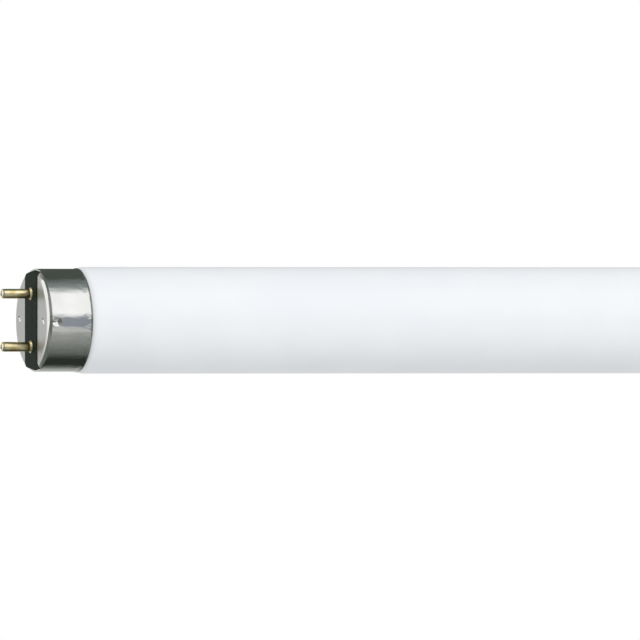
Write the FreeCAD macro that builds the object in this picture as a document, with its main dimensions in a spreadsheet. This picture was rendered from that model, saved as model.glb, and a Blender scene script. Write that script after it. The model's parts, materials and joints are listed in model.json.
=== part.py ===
import FreeCAD, Part
import math
import os

import Sketcher

# Driving sizes in millimetres, and in degrees where the name says turn, slant or taper
SIZES = {
    # Glass bulb
    "tube_diameter": 25.6,
    "shoulder_radius": 4.0,
    "shoulder_blend": 1.5,
    "glass_gap": 0.05,
    "seal_gap": 1.6,
    "seal_thickness": 1.8,
    "funnel_depth": 18.0,
    "funnel_floor": 9.0,
    "exhaust_diameter": 4.0,
    "exhaust_length": 10.0,
    # Cap shell
    "base_face_length": 589.0,
    "cap_length": 11.3,
    "skirt_inset": 0.46,
    "sheet_wall": 0.3,
    "edge_radius": 1.35,
    "lip_step": 0.15,
    "lip_length": 0.6,
    "slot_depth": 1.0,
    "dent_radius": 1.5,
    "dent_depth": 0.36,
    "dent_rim": 1.35,
    "dent_setback": 0.9,
    "dent_turn": 1.6,
    "stake_length": 2.0,
    "stake_width": 1.0,
    "stake_depth": 0.25,
    "stake_inset": 3.65,
    "stake_drop": 0.26,
    "stake_slant": 47.0,
    "stake_taper": 40.0,
    # Insulator
    "bar_width": 8.6,
    "bar_proud": 0.15,
    "bar_end_radius": 1.9,
    "bar_end_gap": 0.05,
    "slot_gap": 0.05,
    "disc_thickness": 2.3,
    "disc_gap": 0.05,
    # Contact pins
    "pin_spacing": 12.7,
    "pin_diameter": 2.35,
    "pin_projection": 7.45,
    "pin_wall": 0.3,
    "pin_gap": 0.03,
    "nose_radius": 0.6,
    "nose_hole": 0.7,
    "foot_step": 0.33,
    "foot_length": 0.52,
    "foot_rim": 0.1,
    "rivet_step": 0.6,
    "rivet_thickness": 0.3,
    "rivet_recess": 0.6,
    "rivet_gap": 0.25,
    "crimp_radius": 0.5,
    "crimp_depth": 0.12,
    "crimp_setback": 0.75,
    # Capping cement
    "cement_thickness": 0.55,
    "cement_gap": 0.3,
    # Lead wires
    "lead_diameter": 0.6,
    "lead_spread": 6.4,
    "lead_straight": 6.5,
    "lead_bend": 9.0,
    "bead_diameter": 1.1,
    "bead_height": 0.35,
}

doc = FreeCAD.newDocument("fluorescent_tube")
sheet = doc.addObject("Spreadsheet::Sheet", "sizes")


# A number together with the sheet expression that gives it
class Size:
    def __init__(self, value, text):
        self.value = float(value)
        self.text = text

    def __add__(self, other):
        other = as_size(other)
        return Size(self.value + other.value, "(%s + %s)" % (self.text, other.text))

    def __sub__(self, other):
        other = as_size(other)
        return Size(self.value - other.value, "(%s - %s)" % (self.text, other.text))

    def __mul__(self, other):
        other = as_size(other)
        return Size(self.value * other.value, "(%s * %s)" % (self.text, other.text))

    def __truediv__(self, other):
        other = as_size(other)
        return Size(self.value / other.value, "(%s / %s)" % (self.text, other.text))

    def __neg__(self):
        return Size(-self.value, "(0 - %s)" % self.text)


def as_size(value):
    if isinstance(value, Size):
        return value
    return Size(value, repr(float(value)))


def root(size):
    return Size(math.sqrt(size.value), "sqrt(%s)" % size.text)


# The third side of a right triangle, from its longest side and one other
def leg(long_side, short_side):
    return root(long_side * long_side - short_side * short_side)


def fill_sheet():
    sizes = {}
    for row, (alias, value) in enumerate(SIZES.items(), 1):
        sheet.set("A%d" % row, alias)
        sheet.set("B%d" % row, str(value))
        sheet.setAlias("B%d" % row, alias)
        sizes[alias] = Size(value, "sizes." + alias)
    doc.recompute()
    return sizes


S = fill_sheet()
ZERO = Size(0, "0")

# Shared places, measured inward from the metal end face and outward from the lamp's axis
TUBE_R = S["tube_diameter"] / 2
SKIRT_R = TUBE_R - S["skirt_inset"]
WALL = S["sheet_wall"]
SKIRT_BORE_R = SKIRT_R - WALL
LIP_R = SKIRT_R + S["lip_step"]
LIP_START = S["cap_length"] - S["lip_length"]
NECK_R = SKIRT_BORE_R - S["cement_thickness"]
HALF_LENGTH = S["base_face_length"] / 2 - S["bar_proud"]
PIN_R = S["pin_diameter"] / 2
PIN_BORE_R = PIN_R - S["pin_wall"]
PIN_HEIGHT = S["pin_spacing"] / 2
PIN_TIP = -(S["bar_proud"] + S["pin_projection"])
DISC_R = SKIRT_BORE_R - S["disc_gap"]
BAR_END_R = DISC_R - S["bar_end_gap"]
DISC_BACK = WALL + S["disc_thickness"]
RIVET_SEAT = DISC_BACK - S["rivet_recess"]
DENT_X = S["edge_radius"] + S["dent_setback"]
SEAL_R = S["seal_thickness"] / 2
SEAL_X = DISC_BACK + S["seal_gap"]
FUNNEL_FLOOR = SEAL_X + S["funnel_depth"]

# The glass shoulder: two arcs that meet in a tangent, from the neck up to the full diameter
RIM_GLASS_R = LIP_R - WALL - S["glass_gap"]
SHOULDER_DROP = S["shoulder_radius"] - (TUBE_R - RIM_GLASS_R)
SHOULDER_END = S["cap_length"] + leg(S["shoulder_radius"], SHOULDER_DROP)
TURN_SHARE = (TUBE_R - NECK_R) / (S["shoulder_radius"] + S["shoulder_blend"])
TURN_SINE = leg(as_size(1), as_size(1) - TURN_SHARE)
TURN_X = SHOULDER_END - S["shoulder_radius"] * TURN_SINE
TURN_R = TUBE_R - S["shoulder_radius"] * TURN_SHARE
NECK_END = TURN_X - S["shoulder_blend"] * TURN_SINE


def bind(feature, name, size):
    feature.setExpression(name, as_size(size).text)


def origin_part(body, role):
    for feature in body.Origin.OriginFeatures:
        if feature.Role == role:
            return feature
    raise ValueError("no origin part " + role)


def new_body(label, side, height=ZERO, flipped=False):
    body = doc.addObject("PartDesign::Body", label)
    body.Label = label
    about_z = FreeCAD.Rotation(FreeCAD.Vector(0, 0, 1), 180 if side > 0 else 0)
    about_x = FreeCAD.Rotation(FreeCAD.Vector(1, 0, 0), 180 if flipped else 0)
    body.Placement = FreeCAD.Placement(FreeCAD.Vector(0, 0, 0), about_z.multiply(about_x))
    if side:
        bind(body, "Placement.Base.x", HALF_LENGTH if side > 0 else -HALF_LENGTH)
    if height is not ZERO:
        bind(body, "Placement.Base.z", height)
    return body


def new_sketch(body, name, plane, shift=(ZERO, ZERO, ZERO), axis=(0, 0, 1), angle=ZERO):
    sketch = body.newObject("Sketcher::SketchObject", name)
    sketch.AttachmentSupport = (origin_part(body, plane), [""])
    sketch.MapMode = "FlatFace"
    base = FreeCAD.Vector(*[size.value for size in shift])
    sketch.AttachmentOffset = FreeCAD.Placement(base, FreeCAD.Rotation(FreeCAD.Vector(*axis), angle.value))
    for letter, size in zip("xyz", shift):
        if size is not ZERO:
            bind(sketch, "AttachmentOffset.Base." + letter, size)
    if angle is not ZERO:
        bind(sketch, "AttachmentOffset.Rotation.Angle", angle)
    return sketch


# Centre of the arc between two points: a positive radius turns left, a negative one right
def arc_centre(start, end, radius):
    chord = end - start
    middle = (start + end) * 0.5
    left = FreeCAD.Vector(-chord.y, chord.x, 0).normalize()
    rise = math.sqrt(max(radius * radius - chord.Length * chord.Length / 4, 0))
    return middle + left * math.copysign(rise, radius)


def add_segment(sketch, start, end, radius):
    if radius is None:
        return sketch.addGeometry(Part.LineSegment(start, end), False), 1, 2
    centre = arc_centre(start, end, radius.value)
    first, last = (start, end) if radius.value > 0 else (end, start)
    from_angle = math.atan2(first.y - centre.y, first.x - centre.x)
    to_angle = math.atan2(last.y - centre.y, last.x - centre.x)
    circle = Part.Circle(centre, FreeCAD.Vector(0, 0, 1), abs(radius.value))
    index = sketch.addGeometry(Part.ArcOfCircle(circle, from_angle, to_angle), False)
    return (index, 1, 2) if radius.value > 0 else (index, 2, 1)


# Ties one point of a sketch to its distances from the sketch's axes
def tie_point(sketch, index, end, x, y):
    for axis, kind, size in ((-2, "DistanceX", x), (-1, "DistanceY", y)):
        if size is ZERO:
            sketch.addConstraint(Sketcher.Constraint("PointOnObject", index, end, axis))
        else:
            rule = Sketcher.Constraint(kind, -1, 1, index, end, size.value)
            bind(sketch, "Constraints[%d]" % sketch.addConstraint(rule), size)


# Draws a chain of lines and arcs through (x, y) points; a third value is the arc's radius to that point
def trace(sketch, steps, closed=True):
    points = [FreeCAD.Vector(step[0].value, step[1].value, 0) for step in steps]
    ends = list(range(1, len(steps))) + ([0] if closed else [])
    parts = []
    for start, end in zip(range(len(ends)), ends):
        radius = steps[end][2] if len(steps[end]) > 2 else None
        parts.append(add_segment(sketch, points[start], points[end], radius) + (radius,))
    for number, (index, first, last, radius) in enumerate(parts):
        tie_point(sketch, index, first, *steps[number][:2])
        if radius is not None:
            rule = Sketcher.Constraint("Radius", index, abs(radius.value))
            size = radius if radius.value > 0 else -radius
            bind(sketch, "Constraints[%d]" % sketch.addConstraint(rule), size)
    for before, after in zip(parts, parts[1:] + (parts[:1] if closed else [])):
        sketch.addConstraint(Sketcher.Constraint("Coincident", before[0], before[2], after[0], after[1]))
    if not closed:
        tie_point(sketch, parts[-1][0], parts[-1][2], *steps[-1][:2])
    return sketch


def rectangle(sketch, half_x, half_y):
    return trace(sketch, [(-half_x, -half_y), (half_x, -half_y), (half_x, half_y), (-half_x, half_y)])


# A slot with round ends, lying along the sketch's x axis and drawn in four arcs and two lines
def round_slot(sketch, length, width):
    end = length / 2
    side = width / 2
    straight = end - side
    steps = [
        (straight, -side),
        (end, ZERO, side),
        (straight, side, side),
        (-straight, side),
        (-end, ZERO, side),
        (-straight, -side, side),
    ]
    return trace(sketch, steps)


def circle(sketch, x, y, radius):
    shape = Part.Circle(FreeCAD.Vector(x.value, y.value, 0), FreeCAD.Vector(0, 0, 1), radius.value)
    index = sketch.addGeometry(shape, False)
    rule = Sketcher.Constraint("Radius", index, radius.value)
    bind(sketch, "Constraints[%d]" % sketch.addConstraint(rule), radius)
    tie_point(sketch, index, 3, x, y)
    return sketch


def turned(body, kind, name, sketch, axis="H_Axis"):
    feature = body.newObject("PartDesign::" + kind, name)
    feature.Profile = sketch
    feature.ReferenceAxis = (sketch, [axis])
    feature.Angle = 360
    body.Tip = feature
    return feature


def extruded(body, kind, name, sketch, length, reversed_way=False, both_ways=False, taper=ZERO):
    feature = body.newObject("PartDesign::" + kind, name)
    feature.Profile = sketch
    feature.Type = "Length"
    bind(feature, "Length", length)
    feature.SideType = "Symmetric" if both_ways else "One side"
    feature.Reversed = reversed_way
    if taper is not ZERO:
        bind(feature, "TaperAngle", taper)
    body.Tip = feature
    return feature


# Repeats features half a turn further round the lamp's axis
def repeat_opposite(body, name, features):
    pattern = body.newObject("PartDesign::PolarPattern", name)
    pattern.Originals = features
    pattern.Axis = (origin_part(body, "X_Axis"), [""])
    pattern.Angle = 360
    pattern.Occurrences = 2
    body.Tip = pattern
    return pattern


# Bulb: one sealed glass piece, necked at both ends, with the stem's funnel turned back into each end
def make_bulb():
    body = new_body("glass_bulb", 0)
    end_x = HALF_LENGTH - SEAL_X
    floor_x = HALF_LENGTH - FUNNEL_FLOOR
    exhaust_r = S["exhaust_diameter"] / 2
    exhaust_x = floor_x + S["exhaust_length"]
    steps = [
        (ZERO, ZERO),
        (exhaust_x, ZERO),
        (exhaust_x - exhaust_r, exhaust_r, exhaust_r),
        (floor_x, exhaust_r),
        (floor_x, S["funnel_floor"] / 2),
        (end_x - SEAL_R, NECK_R - SEAL_R * 2),
        (end_x, NECK_R - SEAL_R, SEAL_R),
        (end_x - SEAL_R, NECK_R, SEAL_R),
        (HALF_LENGTH - NECK_END, NECK_R),
        (HALF_LENGTH - TURN_X, TURN_R, -S["shoulder_blend"]),
        (HALF_LENGTH - SHOULDER_END, TUBE_R, S["shoulder_radius"]),
        (ZERO, TUBE_R),
    ]
    half = turned(body, "Revolution", "half_bulb", trace(new_sketch(body, "bulb_profile", "XY_Plane"), steps))
    mirror = body.newObject("PartDesign::Mirrored", "both_ends")
    mirror.Originals = [half]
    mirror.MirrorPlane = (origin_part(body, "YZ_Plane"), [""])
    body.Tip = mirror
    return body


# Section of the drawn cup: outer skin, flared lip at the open end, inner skin
def shell_profile(body):
    edge = S["edge_radius"]
    inner_edge = edge - WALL
    flare = (S["lip_length"] * S["lip_length"] + S["lip_step"] * S["lip_step"]) / (S["lip_step"] * 2)
    steps = [
        (ZERO, ZERO),
        (ZERO, SKIRT_R - edge),
        (edge, SKIRT_R, -edge),
        (LIP_START, SKIRT_R),
        (S["cap_length"], LIP_R, flare),
        (S["cap_length"], LIP_R - WALL),
        (LIP_START, SKIRT_BORE_R, -flare),
        (edge, SKIRT_BORE_R),
        (WALL, SKIRT_BORE_R - inner_edge, inner_edge),
        (WALL, ZERO),
    ]
    return trace(new_sketch(body, "cup_profile", "XY_Plane"), steps)


# A dent is a ball's hollow with a rolled rim: the two arcs' radii together, the ball's own, and its centre
DENT_ARCS = (S["dent_radius"] * S["dent_radius"] + S["dent_depth"] * S["dent_depth"]) / (S["dent_depth"] * 2)
DENT_BALL = DENT_ARCS - S["dent_rim"]
DENT_CENTRE = SKIRT_R + DENT_BALL - S["dent_depth"]
# Radius at which the dent's bump leaves the wall: deep enough for its flat base to stay inside the skin
BUMP_ROOT_R = SKIRT_R - WALL * 0.8
# How far a mark on the face reaches into the wall, and how much wider its bump is than its hollow
HALF_WALL = WALL / 2


def dent_plane(body, name):
    return new_sketch(body, name, "XY_Plane", (DENT_X, ZERO, ZERO), (1, 0, 0), S["dent_turn"])


# Half the section of a dent's inner side: the ball's cap beyond a flat base
def bump_sketch(body, name, base_r, ball):
    reach = leg(ball, DENT_CENTRE - base_r)
    steps = [(ZERO, -base_r), (reach, -base_r), (ZERO, ball - DENT_CENTRE, ball)]
    return trace(dent_plane(body, name), steps)


# Half the section of a dent's outer side: down over the rolled rim, then round the ball to its lowest point
def hollow_sketch(body, name):
    outside = SKIRT_R + S["dent_depth"]
    share = DENT_BALL / DENT_ARCS
    turn_point = (S["dent_radius"] * share, S["dent_depth"] * (as_size(1) - share) - SKIRT_R)
    steps = [
        (ZERO, -outside),
        (S["dent_radius"], -outside),
        (S["dent_radius"], -SKIRT_R),
        turn_point + (-S["dent_rim"],),
        (ZERO, S["dent_depth"] - SKIRT_R, DENT_BALL),
    ]
    return trace(dent_plane(body, name), steps)


def stake_sketch(body, name, depth, margin):
    shift = (S["stake_inset"] - SKIRT_R, -S["stake_drop"], depth)
    sketch = new_sketch(body, name, "YZ_Plane", shift, (0, 0, 1), S["stake_slant"])
    return round_slot(sketch, S["stake_length"] + margin * 2, S["stake_width"] + margin * 2)


# Drawn aluminium cap: cup, cross slot for the bar, and staked dents in the face and the skirt
def make_shell(label, side):
    body = new_body(label, side)
    turned(body, "Revolution", "cup", shell_profile(body))
    slot = rectangle(new_sketch(body, "slot_outline", "YZ_Plane"), S["bar_width"] / 2 + S["slot_gap"], LIP_R)
    extruded(body, "Pocket", "slot", slot, S["slot_depth"], reversed_way=True)
    bump_outline = bump_sketch(body, "dent_bump", BUMP_ROOT_R, DENT_BALL + WALL)
    bump = turned(body, "Revolution", "dent_inside", bump_outline, "V_Axis")
    dent = turned(body, "Groove", "dent_outside", hollow_sketch(body, "dent_hollow"), "V_Axis")
    repeat_opposite(body, "skirt_dents", [bump, dent])
    boss_outline = stake_sketch(body, "stake_bump", HALF_WALL, HALF_WALL)
    boss_height = HALF_WALL + S["stake_depth"]
    boss = extruded(body, "Pad", "stake_inside", boss_outline, boss_height, taper=-S["stake_taper"])
    hollow = stake_sketch(body, "stake_hollow", ZERO, ZERO)
    mark = extruded(body, "Pocket", "stake_outside", hollow, S["stake_depth"], True, taper=-S["stake_taper"])
    repeat_opposite(body, "face_stakes", [boss, mark])
    return body


# Moulded insulator: a disc behind the metal face with a bar that stands out through the slot
def make_insulator(label, side):
    body = new_body(label, side)
    front = -S["bar_proud"]
    end = S["bar_end_radius"]
    bar = [
        (DISC_BACK, -BAR_END_R),
        (DISC_BACK, BAR_END_R),
        (front + end, BAR_END_R),
        (front, BAR_END_R - end, end),
        (front, end - BAR_END_R),
        (front + end, -BAR_END_R, end),
    ]
    outline = trace(new_sketch(body, "bar_outline", "XZ_Plane"), bar)
    extruded(body, "Pad", "bar", outline, S["bar_width"], both_ways=True)
    before = front - WALL
    behind = DISC_BACK + WALL
    trim = [(before, BAR_END_R), (behind, BAR_END_R), (behind, SKIRT_R * 2), (before, SKIRT_R * 2)]
    turned(body, "Groove", "round_trim", trace(new_sketch(body, "trim_profile", "XY_Plane"), trim))
    edge = S["edge_radius"]
    inner_edge = edge - WALL
    disc = [
        (WALL, ZERO),
        (WALL, DISC_R - inner_edge),
        (edge, DISC_R, -inner_edge),
        (DISC_BACK, DISC_R),
        (DISC_BACK, ZERO),
    ]
    turned(body, "Revolution", "disc", trace(new_sketch(body, "disc_profile", "XY_Plane"), disc))
    seats = new_sketch(body, "pin_holes", "YZ_Plane", (ZERO, ZERO, front))
    recesses = new_sketch(body, "rivet_recesses", "YZ_Plane", (ZERO, ZERO, RIVET_SEAT))
    for height in (PIN_HEIGHT, -PIN_HEIGHT):
        circle(seats, ZERO, height, PIN_R + S["pin_gap"])
        circle(recesses, ZERO, height, PIN_R + S["rivet_step"] + S["rivet_gap"])
    extruded(body, "Pocket", "pin_bores", seats, DISC_BACK + S["bar_proud"], reversed_way=True)
    extruded(body, "Pocket", "rivet_pockets", recesses, S["rivet_recess"], reversed_way=True)
    ball = DENT_BALL + WALL + S["disc_gap"]
    dent_outline = bump_sketch(body, "dent_seat_profile", SKIRT_R, ball)
    seat = turned(body, "Groove", "dent_seat", dent_outline, "V_Axis")
    stake_outline = stake_sketch(body, "stake_seat_outline", WALL, S["disc_gap"] + HALF_WALL)
    stake_room = S["stake_depth"] + S["disc_gap"]
    mark = extruded(body, "Pocket", "stake_seat", stake_outline, stake_room, reversed_way=True)
    repeat_opposite(body, "stake_seats", [seat, mark])
    return body


# Contact pin: a hollow brass rivet with a flared foot, a rounded nose and a crimp on each side
def make_pin(label, side, height, flipped):
    body = new_body(label, side, height, flipped)
    face = -S["bar_proud"]
    nose = S["nose_radius"]
    foot = S["foot_step"]
    inner_nose = PIN_TIP + S["pin_wall"]
    hole_r = S["nose_hole"] / 2
    rivet_back = RIVET_SEAT + S["rivet_thickness"]
    steps = [
        (PIN_TIP, hole_r),
        (PIN_TIP, PIN_R - nose),
        (PIN_TIP + nose, PIN_R, -nose),
        (face - S["foot_length"], PIN_R),
        (face - S["foot_rim"], PIN_R + foot),
        (face, PIN_R + foot),
        (face, PIN_R),
        (RIVET_SEAT, PIN_R),
        (RIVET_SEAT, PIN_R + S["rivet_step"]),
        (rivet_back, PIN_R + S["rivet_step"]),
        (rivet_back, PIN_BORE_R),
        (inner_nose, PIN_BORE_R),
        (inner_nose, hole_r),
    ]
    turned(body, "Revolution", "drawn_pin", trace(new_sketch(body, "pin_profile", "XY_Plane"), steps))
    crimp = body.newObject("PartDesign::SubtractiveSphere", "crimp")
    crimp.AttachmentSupport = (origin_part(body, "XY_Plane"), [""])
    crimp.MapMode = "FlatFace"
    bind(crimp, "Radius", S["crimp_radius"])
    bind(crimp, "AttachmentOffset.Base.x", PIN_TIP + S["crimp_setback"])
    bind(crimp, "AttachmentOffset.Base.z", PIN_R + S["crimp_radius"] - S["crimp_depth"])
    body.Tip = crimp
    repeat_opposite(body, "crimps", [crimp])
    return body


# Capping cement: a ring that fills the gap between the glass neck and the skirt
def make_cement(label, side):
    body = new_body(label, side)
    start = SEAL_X + SEAL_R + S["cement_gap"]
    end = NECK_END - S["cement_gap"]
    steps = [(start, NECK_R), (end, NECK_R), (end, SKIRT_BORE_R), (start, SKIRT_BORE_R)]
    turned(body, "Revolution", "ring", trace(new_sketch(body, "ring_profile", "XY_Plane"), steps))
    return body


# Lead wire: from the stem's floor through the pin's bore, with its weld bead on the pin's nose
def make_lead(label, side, height, flipped):
    body = new_body(label, side, height, flipped)
    drop = S["lead_spread"] / 2 - PIN_HEIGHT
    bend_start = FUNNEL_FLOOR - S["lead_straight"]
    bend = S["lead_bend"]
    radius = (bend * bend + drop * drop) / (-drop * 4)
    path = [
        (FUNNEL_FLOOR, drop),
        (bend_start, drop),
        (bend_start - bend / 2, drop / 2, -radius),
        (bend_start - bend, ZERO, radius),
        (PIN_TIP, ZERO),
    ]
    spine = trace(new_sketch(body, "lead_path", "XZ_Plane"), path, closed=False)
    section = new_sketch(body, "lead_section", "YZ_Plane", (ZERO, drop, FUNNEL_FLOOR))
    circle(section, ZERO, ZERO, S["lead_diameter"] / 2)
    doc.recompute()
    wire = body.newObject("PartDesign::AdditivePipe", "wire")
    wire.Profile = section
    wire.Spine = (spine, ["Edge%d" % number for number in range(1, len(path))])
    wire.Mode = "Frenet"
    body.Tip = wire
    bead_r = S["bead_diameter"] / 2
    ball = (bead_r * bead_r + S["bead_height"] * S["bead_height"]) / (S["bead_height"] * 2)
    bead = [(PIN_TIP, ZERO), (PIN_TIP - S["bead_height"], ZERO), (PIN_TIP, bead_r, -ball)]
    turned(body, "Revolution", "bead", trace(new_sketch(body, "bead_profile", "XY_Plane"), bead))
    return body


def make_parts():
    parts = [make_bulb()]
    for side, side_name in ((-1, "left"), (1, "right")):
        parts.append(make_shell("cap_shell_" + side_name, side))
        parts.append(make_insulator("insulator_" + side_name, side))
        parts.append(make_cement("cement_" + side_name, side))
        for height, flipped, level in ((PIN_HEIGHT, False, "top"), (-PIN_HEIGHT, True, "bottom")):
            tail = "%s_%s" % (side_name, level)
            parts.append(make_pin("pin_" + tail, side, height, flipped))
            parts.append(make_lead("lead_wire_" + tail, side, height, flipped))
    return parts


def check(parts):
    for feature in doc.Objects:
        if "Invalid" in feature.State or "Error" in feature.State:
            raise ValueError("%s did not build" % feature.Name)
    for part in parts:
        if part.Shape.isNull() or not part.Shape.isValid() or len(part.Shape.Solids) != 1:
            raise ValueError("%s is not one valid solid" % part.Label)


def main():
    os.makedirs("parts", exist_ok=True)
    parts = make_parts()
    doc.recompute()
    check(parts)
    for part in parts:
        part.Shape.exportStep("parts/%s.step" % part.Label)
        print("%-24s %10.2f mm3" % (part.Label, part.Shape.Volume))


main()
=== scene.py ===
import json
import math

import bmesh
import bpy
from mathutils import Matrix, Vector


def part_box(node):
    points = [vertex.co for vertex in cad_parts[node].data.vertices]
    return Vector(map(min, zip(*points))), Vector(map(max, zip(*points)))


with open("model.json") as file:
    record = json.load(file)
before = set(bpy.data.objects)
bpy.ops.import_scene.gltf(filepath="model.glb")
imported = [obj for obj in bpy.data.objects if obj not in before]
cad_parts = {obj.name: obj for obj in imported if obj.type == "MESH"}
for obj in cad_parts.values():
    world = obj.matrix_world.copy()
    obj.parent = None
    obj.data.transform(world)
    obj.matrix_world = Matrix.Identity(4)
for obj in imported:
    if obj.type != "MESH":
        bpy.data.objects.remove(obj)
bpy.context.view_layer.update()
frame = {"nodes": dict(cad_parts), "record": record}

MM = 0.001

# Places on the right-hand half, read from the frame: the cap's lip, its end face and the pins' noses
LIP_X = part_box("cap_shell_right")[0].x
FACE_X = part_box("cap_shell_right")[1].x
PIN_TIP_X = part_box("pin_right_top")[1].x

# Finishes, and a painted shade at the cap's lip, that change along the axis: where each begins and where it
# is complete
# Painted shade: a grey ring on the glass next to the cap's lip
LIP_SHADE_RING = (LIP_X - 1.2 * MM, LIP_X)
SATIN_FACE = (FACE_X - 0.12 * MM, FACE_X - 0.02 * MM)
WRINKLED_SHEET = (LIP_X + 3.2 * MM, LIP_X + 1.2 * MM)
TINNED_NOSE = (PIN_TIP_X - 1.4 * MM, PIN_TIP_X - 0.5 * MM)

# Most of a noise's values lie between these two
NOISE_LOW, NOISE_HIGH = 0.3, 0.7

# The photograph's view: its azimuth, the width it covers, and its middle, which lies inward from the
# left cap's end face and a little over the axis. The lens is long, because the photograph shows next to
# no perspective. The clip distances are shares of the camera's distance.
VIEW_AZIMUTH = -19.6
VIEW_WIDTH = 153.6 * MM
VIEW_INWARD = 73.28 * MM
VIEW_RISE = 0.067 * MM
VIEW_LENS = 1600.0
VIEW_SENSOR = 36.0
VIEW_CLIP = (0.1, 10.0)

# Light: the world's level on the object, the softbox above the camera's side, and the floor
AMBIENT = 0.64
SOFTBOX_POWER = 10.0
SOFTBOX_SIZE = (2.2, 0.9)
SOFTBOX_ELEVATION = 38.0
SOFTBOX_DISTANCE = 1.5
FLOOR_Z = -150.0 * MM
FLOOR_RADIUS = 4.4
FLOOR_SIDES = 96
FLOOR_TONE = "#F2F2F1"
FLOOR_LIFT = 0.45

# The studio that only reflections see, in nine tones
WHITE = "#FFFFFF"
WALL = "#CACAC8"
PALE = "#A8AAA7"
GREY = "#8A8D88"
DAYLIT = "#8E939B"
ROOM = "#666A65"
DIM = "#49504A"
CEILING = "#8A9291"
SHADE = "#2C302A"

# Its plan, round the tube's axis: elevation (0 at the camera's side, 180 behind), how far that row runs
# past the tube's ends for each metre of radius, then its tone beyond that reach, to the left, along the
# tube and to the right
SURROUND = [
    (-180, 0.84, WHITE, WALL, WHITE, WALL),  # white sheet behind the tube
    (-146, 0.80, WALL, WALL, PALE, WALL),  # floor behind
    (-132, 1.00, PALE, GREY, GREY, GREY),
    (-115, 1.30, PALE, ROOM, SHADE, ROOM),  # shade under the tube
    (-93, 1.90, WALL, ROOM, SHADE, DIM),
    (-72, 2.70, WALL, ROOM, ROOM, DIM),  # floor in front
    (-48, 2.70, WHITE, GREY, GREY, DIM),
    (-26, 2.10, WHITE, ROOM, PALE, DIM),
    (-20, 1.90, WHITE, ROOM, WALL, ROOM),  # the floor's lit edge
    (-14, 1.80, WHITE, ROOM, DAYLIT, ROOM),  # wall behind the camera
    (4, 1.73, WHITE, ROOM, DAYLIT, ROOM),
    (15, 1.70, WHITE, GREY, WHITE, WHITE),  # softbox
    (60, 1.20, WHITE, GREY, WHITE, WHITE),
    (77, 0.75, WHITE, ROOM, CEILING, ROOM),  # ceiling
    (108, 0.50, WHITE, ROOM, DIM, ROOM),
    (170, 0.80, WHITE, WALL, DIM, WALL),  # unlit back of the room
    (180, 0.84, WHITE, WALL, WHITE, WALL),
]
SURROUND_LEVEL = 1.25
SURROUND_RADIUS = 0.9
SURROUND_FLOOR_Z = -120.0 * MM
# In metres, how far the tone along the tube runs to each side; for each metre of radius, how long the
# tone beyond the reach takes to fade to white; and in metres, how far the white runs on from there
MIDDLE_END = 0.30
WHITE_FADE = 2.0
WHITE_END = 8.0

# Inputs whose names repeat on a node: the two of a sum or product, then a mix's factor, numbers and colours
FIRST, SECOND = 0, 1
FACTOR, NUMBER_A, NUMBER_B, COLOUR_A, COLOUR_B = 0, 2, 3, 6, 7


def linear(hex_text):
    """sRGB hex colour as a linear RGBA colour."""
    levels = [int(hex_text[i:i + 2], 16) / 255 for i in (1, 3, 5)]
    return [v / 12.92 if v <= 0.04045 else ((v + 0.055) / 1.055) ** 2.4 for v in levels] + [1.0]


def cycles_of(size_mm):
    """Texture scale at which one cycle measures that many millimetres."""
    return 1 / (size_mm * MM)


def add(tree, kind, inputs=None, **settings):
    """Adds a node with its settings; each input is a value, or the node or output that feeds it."""
    node = tree.nodes.new(kind)
    for name, value in settings.items():
        setattr(node, name, value)
    for name, value in (inputs or {}).items():
        if isinstance(value, bpy.types.Node):
            value = next(out for out in value.outputs if out.enabled)
        if isinstance(value, bpy.types.NodeSocket):
            tree.links.new(value, node.inputs[name])
        else:
            node.inputs[name].default_value = value
    return node


def new_material(name):
    """A material with an empty node tree, and that tree."""
    material = bpy.data.materials.new(name)
    material.use_nodes = True
    tree = material.node_tree
    tree.nodes.clear()
    return material, tree


def reach_from_middle(tree, where):
    """How far a point lies from the tube's middle along its axis, so that both ends are alike."""
    along = add(tree, "ShaderNodeSeparateXYZ", {"Vector": where})
    return add(tree, "ShaderNodeMath", {FIRST: along}, operation="ABSOLUTE")


def phosphor_glass():
    """Drawn soda-lime glass over a baked white phosphor coat: a flat white under a thin, clear gloss."""
    material, tree = new_material("phosphor_glass")
    where = add(tree, "ShaderNodeTexCoord").outputs["Object"]
    # The coat varies a little in thickness; a narrow grey ring at the cap's lip is painted shade where the
    # glass meets the cap
    cloud = add(tree, "ShaderNodeTexNoise", {"Vector": where, "Scale": cycles_of(14.0), "Detail": 3.0})
    cloud = add(tree, "ShaderNodeMapRange", {"Value": cloud, "From Min": 0.35, "From Max": 0.65})
    white = add(tree, "ShaderNodeMix",
                {FACTOR: cloud, COLOUR_A: linear("#F3F6FA"), COLOUR_B: linear("#F6F9FC")}, data_type="RGBA")
    reach = reach_from_middle(tree, where)
    lip_shade = add(tree, "ShaderNodeMapRange",
               {"Value": reach, "From Min": LIP_SHADE_RING[0], "From Max": LIP_SHADE_RING[1]},
               interpolation_type="SMOOTHSTEP")
    white = add(tree, "ShaderNodeMix",
                {FACTOR: lip_shade, COLOUR_A: white, COLOUR_B: linear("#E6E9EA")}, data_type="RGBA")
    # Draw waves in the glass, long along the tube
    long = add(tree, "ShaderNodeMapping", {"Vector": where, "Scale": (0.15, 1, 1)})
    waves = add(tree, "ShaderNodeTexNoise", {"Vector": long, "Scale": cycles_of(5.0), "Detail": 1.0})
    bump = add(tree, "ShaderNodeBump", {"Height": waves, "Strength": 0.05, "Distance": 0.1 * MM})
    shader = add(tree, "ShaderNodeBsdfPrincipled", {
        "Base Color": white, "Roughness": 0.7, "Specular IOR Level": 0.0,
        "Coat Weight": 0.3, "Coat Roughness": 0.04, "Coat IOR": 1.5, "Coat Normal": bump})
    add(tree, "ShaderNodeOutputMaterial", {"Surface": shader})
    return material


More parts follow.
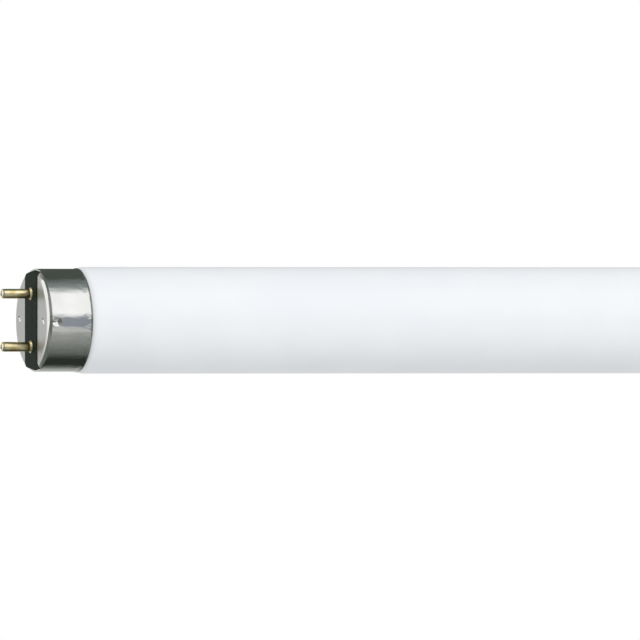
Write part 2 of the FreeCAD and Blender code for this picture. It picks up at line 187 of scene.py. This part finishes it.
def drawn_aluminium():
    """Bright aluminium sheet drawn into a cup: mirror-like skirt with faint draw lines, satin face."""
    material, tree = new_material("drawn_aluminium")
    where = add(tree, "ShaderNodeTexCoord").outputs["Object"]
    reach = reach_from_middle(tree, where)
    face = add(tree, "ShaderNodeMapRange",
               {"Value": reach, "From Min": SATIN_FACE[0], "From Max": SATIN_FACE[1]},
               interpolation_type="SMOOTHSTEP")
    # Handling smudges on the skirt, and a greyer, pressed face
    smudge = add(tree, "ShaderNodeTexNoise", {"Vector": where, "Scale": cycles_of(7.0), "Detail": 3.0})
    smudge = add(tree, "ShaderNodeMapRange", {"Value": smudge, "From Min": 0.35, "From Max": 0.7})
    metal = add(tree, "ShaderNodeMix",
                {FACTOR: smudge, COLOUR_A: linear("#DEDEDC"), COLOUR_B: linear("#D3D4D2")}, data_type="RGBA")
    metal = add(tree, "ShaderNodeMix",
                {FACTOR: face, COLOUR_A: metal, COLOUR_B: linear("#C2C3C1")}, data_type="RGBA")
    # Draw lines along the axis and the face's grain, half a millimetre across: both are drawn a few times
    # as coarse as real ones so that they show
    drawn = add(tree, "ShaderNodeMapping", {"Vector": where, "Scale": (0.05, 1, 1)})
    lines = add(tree, "ShaderNodeTexNoise", {"Vector": drawn, "Scale": cycles_of(0.5)})
    gloss = add(tree, "ShaderNodeMapRange",
                {"Value": lines, "From Min": NOISE_LOW, "From Max": NOISE_HIGH,
                 "To Min": 0.09, "To Max": 0.15})
    grain = add(tree, "ShaderNodeTexNoise", {"Vector": where, "Scale": cycles_of(0.5)})
    satin = add(tree, "ShaderNodeMapRange",
                {"Value": grain, "From Min": NOISE_LOW, "From Max": NOISE_HIGH,
                 "To Min": 0.36, "To Max": 0.46})
    rough = add(tree, "ShaderNodeMix", {FACTOR: face, NUMBER_A: gloss, NUMBER_B: satin})
    # Slow waves left by the drawing, then the lines over them
    slow = add(tree, "ShaderNodeMapping", {"Vector": where, "Scale": (0.3, 1, 1)})
    waves = add(tree, "ShaderNodeTexNoise", {"Vector": slow, "Scale": cycles_of(4.0), "Detail": 3.0})
    bump = add(tree, "ShaderNodeBump", {"Height": waves, "Strength": 1.0, "Distance": 0.14 * MM})
    bump = add(tree, "ShaderNodeBump",
               {"Height": lines, "Strength": 0.5, "Distance": 0.01 * MM, "Normal": bump})
    # Small wrinkles where the sheet was worked hardest, next to its lip
    worked = add(tree, "ShaderNodeMapRange",
                 {"Value": reach, "From Min": WRINKLED_SHEET[0], "From Max": WRINKLED_SHEET[1]},
                 interpolation_type="SMOOTHSTEP")
    wrinkle = add(tree, "ShaderNodeTexNoise", {"Vector": where, "Scale": cycles_of(1.8), "Detail": 2.0})
    wrinkle = add(tree, "ShaderNodeMath", {FIRST: wrinkle, SECOND: worked}, operation="MULTIPLY")
    bump = add(tree, "ShaderNodeBump",
               {"Height": wrinkle, "Strength": 1.0, "Distance": 0.14 * MM, "Normal": bump})
    shader = add(tree, "ShaderNodeBsdfPrincipled",
                 {"Base Color": metal, "Metallic": 1.0, "Roughness": rough, "Normal": bump})
    add(tree, "ShaderNodeOutputMaterial", {"Surface": shader})
    return material


def black_moulding():
    """Mineral-filled black moulding: a satin, slightly greenish black with a fine grain."""
    material, tree = new_material("black_moulding")
    where = add(tree, "ShaderNodeTexCoord").outputs["Object"]
    patch = add(tree, "ShaderNodeTexNoise", {"Vector": where, "Scale": cycles_of(3.0), "Detail": 3.0})
    patch = add(tree, "ShaderNodeMapRange", {"Value": patch, "From Min": 0.35, "From Max": 0.65})
    black = add(tree, "ShaderNodeMix",
                {FACTOR: patch, COLOUR_A: linear("#18261D"), COLOUR_B: linear("#131F17")}, data_type="RGBA")
    # The filler's grain, drawn three times as coarse as it is so that it shows
    grain = add(tree, "ShaderNodeTexNoise", {"Vector": where, "Scale": cycles_of(0.3)})
    rough = add(tree, "ShaderNodeMapRange",
                {"Value": grain, "From Min": NOISE_LOW, "From Max": NOISE_HIGH,
                 "To Min": 0.45, "To Max": 0.6})
    bump = add(tree, "ShaderNodeBump", {"Height": grain, "Strength": 0.2, "Distance": 0.02 * MM})
    shader = add(tree, "ShaderNodeBsdfPrincipled",
                 {"Base Color": black, "Roughness": rough, "Specular IOR Level": 0.065, "Normal": bump})
    add(tree, "ShaderNodeOutputMaterial", {"Surface": shader})
    return material


def drawn_brass():
    """Drawn brass with a light tarnish: pale gold, duller in patches, with tin from the weld at its nose."""
    material, tree = new_material("drawn_brass")
    where = add(tree, "ShaderNodeTexCoord").outputs["Object"]
    reach = reach_from_middle(tree, where)
    nose = add(tree, "ShaderNodeMapRange",
               {"Value": reach, "From Min": TINNED_NOSE[0], "From Max": TINNED_NOSE[1]},
               interpolation_type="SMOOTHSTEP")
    patch = add(tree, "ShaderNodeTexNoise", {"Vector": where, "Scale": cycles_of(1.6), "Detail": 4.0})
    patch = add(tree, "ShaderNodeMapRange", {"Value": patch, "From Min": 0.4, "From Max": 0.65})
    brass = add(tree, "ShaderNodeMix",
                {FACTOR: patch, COLOUR_A: linear("#F8E9BE"), COLOUR_B: linear("#E0CA8A")}, data_type="RGBA")
    # Tin that ran from the weld, in a broken edge round the nose
    edge = add(tree, "ShaderNodeTexNoise", {"Vector": where, "Scale": cycles_of(1.0)})
    edge = add(tree, "ShaderNodeMapRange", {"Value": edge, "From Min": 0.4, "From Max": 0.55})
    tin = add(tree, "ShaderNodeMath", {FIRST: nose, SECOND: edge}, operation="MULTIPLY")
    metal = add(tree, "ShaderNodeMix",
                {FACTOR: tin, COLOUR_A: brass, COLOUR_B: linear("#E2DCC4")}, data_type="RGBA")
    # Draw lines along the pin, drawn a few times as coarse as real ones so that they show
    drawn = add(tree, "ShaderNodeMapping", {"Vector": where, "Scale": (0.06, 1, 1)})
    lines = add(tree, "ShaderNodeTexNoise", {"Vector": drawn, "Scale": cycles_of(0.3)})
    rough = add(tree, "ShaderNodeMapRange",
                {"Value": lines, "From Min": NOISE_LOW, "From Max": NOISE_HIGH,
                 "To Min": 0.17, "To Max": 0.28})
    bump = add(tree, "ShaderNodeBump", {"Height": lines, "Strength": 0.15, "Distance": 0.02 * MM})
    shader = add(tree, "ShaderNodeBsdfPrincipled",
                 {"Base Color": metal, "Metallic": 1.0, "Roughness": rough, "Normal": bump})
    add(tree, "ShaderNodeOutputMaterial", {"Surface": shader})
    return material


def baked_cement():
    """Resin-bonded capping cement, baked hard: dull cream with a sandy grain."""
    material, tree = new_material("baked_cement")
    where = add(tree, "ShaderNodeTexCoord").outputs["Object"]
    grain = add(tree, "ShaderNodeTexNoise", {"Vector": where, "Scale": cycles_of(0.4), "Detail": 4.0})
    cream = add(tree, "ShaderNodeMix",
                {FACTOR: grain, COLOUR_A: linear("#CDBE9C"), COLOUR_B: linear("#E2D6B8")}, data_type="RGBA")
    bump = add(tree, "ShaderNodeBump", {"Height": grain, "Strength": 0.5, "Distance": 0.05 * MM})
    shader = add(tree, "ShaderNodeBsdfPrincipled", {"Base Color": cream, "Roughness": 0.85, "Normal": bump})
    add(tree, "ShaderNodeOutputMaterial", {"Surface": shader})
    return material


def plated_wire():
    """Nickel-plated lead wire: grey-white and smooth, melted to a dull, slightly pitted weld bead."""
    material, tree = new_material("plated_wire")
    where = add(tree, "ShaderNodeTexCoord").outputs["Object"]
    pits = add(tree, "ShaderNodeTexNoise", {"Vector": where, "Scale": cycles_of(0.35), "Detail": 3.0})
    plate = add(tree, "ShaderNodeMix",
                {FACTOR: pits, COLOUR_A: linear("#BDB8A6"), COLOUR_B: linear("#D9D5C6")}, data_type="RGBA")
    rough = add(tree, "ShaderNodeMapRange",
                {"Value": pits, "From Min": NOISE_LOW, "From Max": NOISE_HIGH,
                 "To Min": 0.28, "To Max": 0.5})
    bump = add(tree, "ShaderNodeBump", {"Height": pits, "Strength": 0.4, "Distance": 0.04 * MM})
    shader = add(tree, "ShaderNodeBsdfPrincipled",
                 {"Base Color": plate, "Metallic": 1.0, "Roughness": rough, "Normal": bump})
    add(tree, "ShaderNodeOutputMaterial", {"Surface": shader})
    return material


def dress_nodes():
    """Gives every CAD node the finish that its material slot stands for."""
    finishes = {
        "phosphor_glass": phosphor_glass(),
        "drawn_aluminium": drawn_aluminium(),
        "black_moulding": black_moulding(),
        "capping_cement": baked_cement(),
        "pin_brass": drawn_brass(),
        "lead_wire": plated_wire(),
    }
    for part in frame["record"]["subparts"]:
        frame["nodes"][part["node"]].material_slots[0].material = finishes[part["material_slot"]]


def background_rays(tree):
    """1 for rays that see the background: from the camera, and through or off glass and metal."""
    path = add(tree, "ShaderNodeLightPath").outputs
    seen = add(tree, "ShaderNodeMath",
               {FIRST: path["Is Camera Ray"], SECOND: path["Is Glossy Ray"]}, operation="MAXIMUM")
    return add(tree, "ShaderNodeMath",
               {FIRST: seen, SECOND: path["Is Transmission Ray"]}, operation="MAXIMUM")


def make_world():
    """An even world: white where it is seen, and at its own level where it lights the object."""
    world = bpy.data.worlds.new("white_studio")
    bpy.context.scene.world = world
    world.use_nodes = True
    tree = world.node_tree
    tree.nodes.clear()
    level = add(tree, "ShaderNodeMapRange",
                {"Value": background_rays(tree), "To Min": AMBIENT, "To Max": 1.0})
    sky = add(tree, "ShaderNodeBackground", {"Color": linear(WHITE), "Strength": level})
    add(tree, "ShaderNodeOutputWorld", {"Surface": sky})


def make_floor():
    """A round matt floor that is lifted to white where it is seen, and still takes the object's shadow."""
    material, tree = new_material("white_floor")
    matt = add(tree, "ShaderNodeBsdfDiffuse", {"Color": linear(FLOOR_TONE)})
    lift = add(tree, "ShaderNodeMapRange",
               {"Value": background_rays(tree), "To Min": 0.0, "To Max": FLOOR_LIFT})
    glow = add(tree, "ShaderNodeEmission", {"Strength": lift})
    both = add(tree, "ShaderNodeAddShader", {FIRST: matt, SECOND: glow})
    add(tree, "ShaderNodeOutputMaterial", {"Surface": both})
    mesh = bpy.data.meshes.new("floor")
    sheet = bmesh.new()
    bmesh.ops.create_circle(sheet, cap_ends=True, segments=FLOOR_SIDES, radius=FLOOR_RADIUS)
    sheet.to_mesh(mesh)
    sheet.free()
    mesh.materials.append(material)
    floor = bpy.data.objects.new("floor", mesh)
    bpy.context.scene.collection.objects.link(floor)
    floor.location.z = FLOOR_Z


def surround_row(elevation, reach, end, left, middle, right):
    """One row of the surround: its corners along the axis with their tones, in pairs where that steps."""
    across, up = -math.cos(math.radians(elevation)), math.sin(math.radians(elevation))
    # Under the tube the row lies on the surround's floor, where that is nearer
    radius = min(SURROUND_RADIUS, SURROUND_FLOOR_Z / up) if up < 0 else SURROUND_RADIUS
    edge = FACE_X + reach * radius
    faded = edge + WHITE_FADE * radius
    places = [
        (-faded - WHITE_END, WHITE), (-faded, WHITE), (-edge, end),
        (-edge, left), (-MIDDLE_END, left),
        (-MIDDLE_END, middle), (MIDDLE_END, middle),
        (MIDDLE_END, right), (edge, right),
        (edge, end), (faded, WHITE), (faded + WHITE_END, WHITE),
    ]
    return [((x, across * radius, up * radius), linear(tone)) for x, tone in places]


def make_surround():
    """A tunnel round the tube, white towards both ends, which stands for the studio in metal and glass."""
    mesh = bpy.data.meshes.new("surround")
    sheet = bmesh.new()
    shade = sheet.verts.layers.float_color.new("shade")
    rows = []
    for row in SURROUND:
        corners = []
        for place, colour in surround_row(*row):
            corner = sheet.verts.new(place)
            corner[shade] = colour
            corners.append(corner)
        rows.append(corners)
    for low, high in zip(rows, rows[1:]):
        for i in range(len(low) - 1):
            # Two corners in one place step the tone, and have no face between them
            if low[i].co.x < low[i + 1].co.x:
                sheet.faces.new((low[i], low[i + 1], high[i + 1], high[i]))
    sheet.to_mesh(mesh)
    sheet.free()
    material, tree = new_material("surround_shades")
    material.cycles.emission_sampling = "NONE"
    colour = add(tree, "ShaderNodeAttribute", attribute_name="shade").outputs["Color"]
    glow = add(tree, "ShaderNodeEmission", {"Color": colour, "Strength": SURROUND_LEVEL})
    add(tree, "ShaderNodeOutputMaterial", {"Surface": glow})
    mesh.materials.append(material)
    surround = bpy.data.objects.new("surround", mesh)
    bpy.context.scene.collection.objects.link(surround)
    # Only reflections see it
    surround.visible_camera = False
    surround.visible_diffuse = False
    surround.visible_transmission = False
    surround.visible_volume_scatter = False
    surround.visible_shadow = False


def make_softbox():
    """One large soft lamp above the camera's side. Reflections see the surround's softbox instead."""
    light = bpy.data.lights.new("softbox", "AREA")
    light.shape = "RECTANGLE"
    light.size, light.size_y = SOFTBOX_SIZE
    light.energy = SOFTBOX_POWER
    softbox = bpy.data.objects.new("softbox", light)
    bpy.context.scene.collection.objects.link(softbox)
    slope = math.radians(SOFTBOX_ELEVATION)
    softbox.location = Vector((0, -math.cos(slope), math.sin(slope))) * SOFTBOX_DISTANCE
    softbox.rotation_euler = (math.radians(90) - slope, 0, 0)
    softbox.visible_camera = False
    softbox.visible_glossy = False


def make_camera():
    """The photograph's camera: level, and far enough to the left for the cap's end face to show."""
    data = bpy.data.cameras.new("camera")
    data.lens = VIEW_LENS
    data.sensor_width = VIEW_SENSOR
    camera = bpy.data.objects.new("camera", data)
    bpy.context.scene.collection.objects.link(camera)
    azimuth = math.radians(VIEW_AZIMUTH)
    back = Vector((math.sin(azimuth), -math.cos(azimuth), 0))
    distance = VIEW_WIDTH * VIEW_LENS / VIEW_SENSOR
    camera.location = Vector((-FACE_X + VIEW_INWARD, 0, VIEW_RISE)) + back * distance
    camera.rotation_mode = "QUATERNION"
    camera.rotation_quaternion = (-back).to_track_quat("-Z", "Y")
    near, far = VIEW_CLIP
    data.clip_start = distance * near
    data.clip_end = distance * far
    bpy.context.scene.camera = camera


dress_nodes()
make_world()
make_floor()
make_surround()
make_softbox()
make_camera()
bpy.context.scene.view_settings.view_transform = "Standard"
